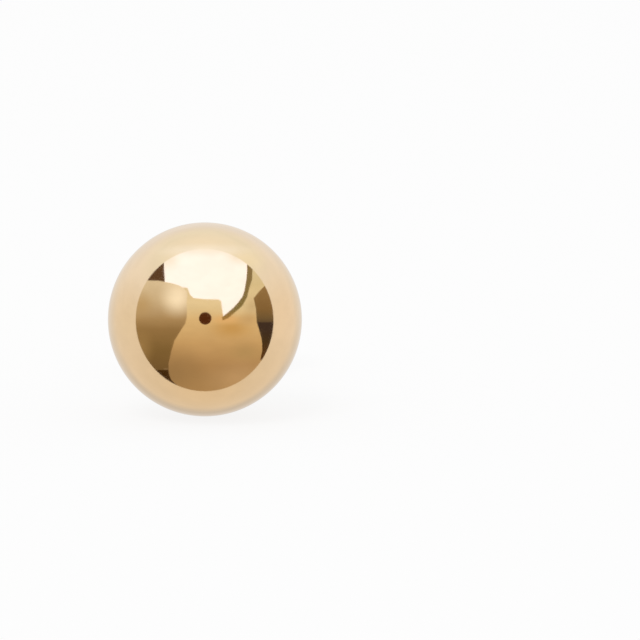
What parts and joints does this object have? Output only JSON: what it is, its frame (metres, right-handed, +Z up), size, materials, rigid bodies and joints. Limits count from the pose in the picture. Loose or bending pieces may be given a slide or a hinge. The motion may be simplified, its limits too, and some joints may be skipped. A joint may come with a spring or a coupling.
{
  "type": "ball stud earring",
  "caption": "Polished gold ball stud earring: hollow ball, soldered ear post and a butterfly clutch on the post behind the ear lobe.",
  "frame": {"origin": "middle of the base of the bounding box, on the surface that the earring lies on", "axes": "+Z up from that surface, -Y towards the front of the ball, +Y along the post to its tip (the post slopes down by 8.6 degrees), +X across the ball and the clutch's wings"},
  "size_m": [0.008, 0.0174, 0.008],
  "materials": {
    "polished_gold": "mirror polished 14 carat yellow gold",
    "stamped_gold": "stamped and tumbled 14 carat yellow gold strip, a little softer than a mirror"
  },
  "bodies": {
    "root": {"ball_and_post": "polished_gold", "butterfly_clutch": "stamped_gold"}
  },
  "joints": []
}
